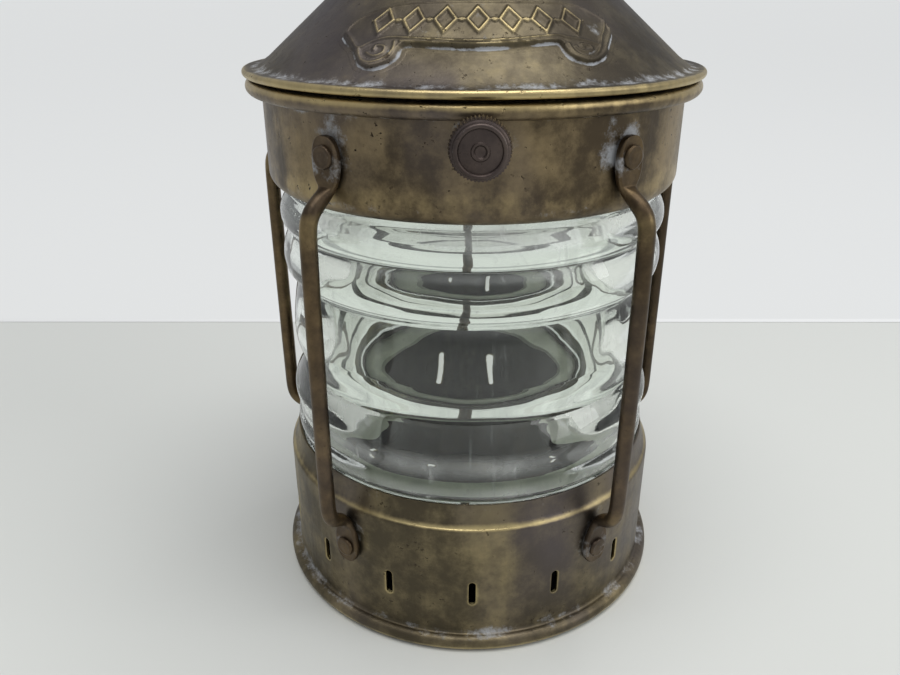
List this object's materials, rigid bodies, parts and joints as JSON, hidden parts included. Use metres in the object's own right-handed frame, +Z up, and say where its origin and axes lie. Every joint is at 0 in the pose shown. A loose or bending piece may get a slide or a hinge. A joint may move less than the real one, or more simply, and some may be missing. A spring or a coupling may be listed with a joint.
{
  "type": "ship lantern",
  "caption": "Free-standing brass ship lantern: vented base, ribbed glass in a wire guard, and a screw-clamped lift-off conical hood with ventilator and swinging bail.",
  "frame": {"origin": "centre of the flat underside of the base, on the lantern's axis", "axes": "+Z up along the lantern's axis, -Y towards the clamping screw and the scroll, +X to the right seen from the front"},
  "size_m": [0.1462, 0.1573, 0.2486],
  "materials": {
    "aged_brass": "aged brass, olive-brown patina with polished edges and pale lime bloom",
    "inner_brass": "dark unpolished brass, sooted",
    "guard_brass": "dark reddish-brown bronzed rod, streaked",
    "screw_brass": "near-black oxidised brass, milled edge",
    "burner_brass": "dull dark brass",
    "lantern_glass": "moulded pale green glass with haze and dust",
    "packing_cord": "tarred packing cord",
    "wick_cotton": "woven cotton, charred at the tip"
  },
  "bodies": {
    "lantern_body": {"base_drum": "aged_brass", "base_floor": "inner_brass", "glass_seat": "inner_brass", "lower_packing": "packing_cord", "glass_lens": "lantern_glass", "upper_packing": "packing_cord", "glass_retainer": "inner_brass", "collar": "aged_brass", "guard_rod_1": "guard_brass", "guard_rod_2": "guard_brass", "guard_rod_3": "guard_brass", "guard_rod_4": "guard_brass", "guard_rod_5": "guard_brass", "collar_rivet_1": "guard_brass", "collar_rivet_2": "guard_brass", "collar_rivet_3": "guard_brass", "collar_rivet_4": "guard_brass", "collar_rivet_5": "guard_brass", "base_rivet_1": "guard_brass", "base_rivet_2": "guard_brass", "base_rivet_3": "guard_brass", "base_rivet_4": "guard_brass", "base_rivet_5": "guard_brass", "screw_boss": "screw_brass", "oil_fount": "burner_brass", "filler_neck": "burner_brass", "fount_collar": "burner_brass", "burner_body": "burner_brass", "wick_tube": "burner_brass", "flame_spreader": "burner_brass", "fount_clip_1": "inner_brass", "fount_clip_2": "inner_brass", "fount_clip_3": "inner_brass"},
    "hood": {"hood_cone": "aged_brass", "hood_skirt": "inner_brass", "scroll_plate": "aged_brass", "vent_neck": "aged_brass", "draught_baffle": "inner_brass", "vent_cap": "aged_brass", "bail_ear_left": "guard_brass", "bail_ear_right": "guard_brass", "ear_rivet_left": "guard_brass", "ear_rivet_right": "guard_brass"},
    "bail": {"bail_handle": "guard_brass"},
    "screw_travel": {"screw_washer": "screw_brass"},
    "clamping_screw": {"clamping_screw": "screw_brass"},
    "wick": {"wick": "wick_cotton"},
    "wick_spindle": {"wick_spindle": "burner_brass"},
    "filler_cap": {"filler_cap": "burner_brass"}
  },
  "joints": [
    {"name": "hood_lift", "type": "slide", "parent": "lantern_body", "child": "hood", "axis": [0, 0, 1], "range_m": [0, 0.09]},
    {"name": "bail_swing", "type": "hinge", "parent": "hood", "child": "bail", "pos_m": [0, 0, 0.21656], "axis": [1, 0, 0], "range_deg": [0, 236]},
    {"name": "screw_travel", "type": "slide", "parent": "lantern_body", "child": "screw_travel", "axis": [0, -1, 0], "range_m": [0, 0.0017]},
    {"name": "screw_turn", "type": "hinge", "parent": "screw_travel", "child": "clamping_screw", "pos_m": [0, -0.078, 0.1621], "axis": [0, -1, 0], "range_deg": [0, 720]},
    {"name": "wick_raise", "type": "slide", "parent": "lantern_body", "child": "wick", "axis": [0, 0, 1], "range_m": [0, 0.0065]},
    {"name": "wick_spindle_turn", "type": "hinge", "parent": "lantern_body", "child": "wick_spindle", "pos_m": [0.02, 0.0045, 0.0324], "axis": [-1, 0, 0], "range_deg": [0, 110]},
    {"name": "filler_cap_turn", "type": "hinge", "parent": "lantern_body", "child": "filler_cap", "pos_m": [-0.024, 0, 0.026], "axis": [0, 0, 1], "range_deg": [0, 540]}
  ],
  "couplings": [
    {"joint": "screw_travel", "follows": "screw_turn", "m_per_rad": 0.00012732},
    {"joint": "wick_raise", "follows": "wick_spindle_turn", "m_per_rad": 0.0032}
  ]
}
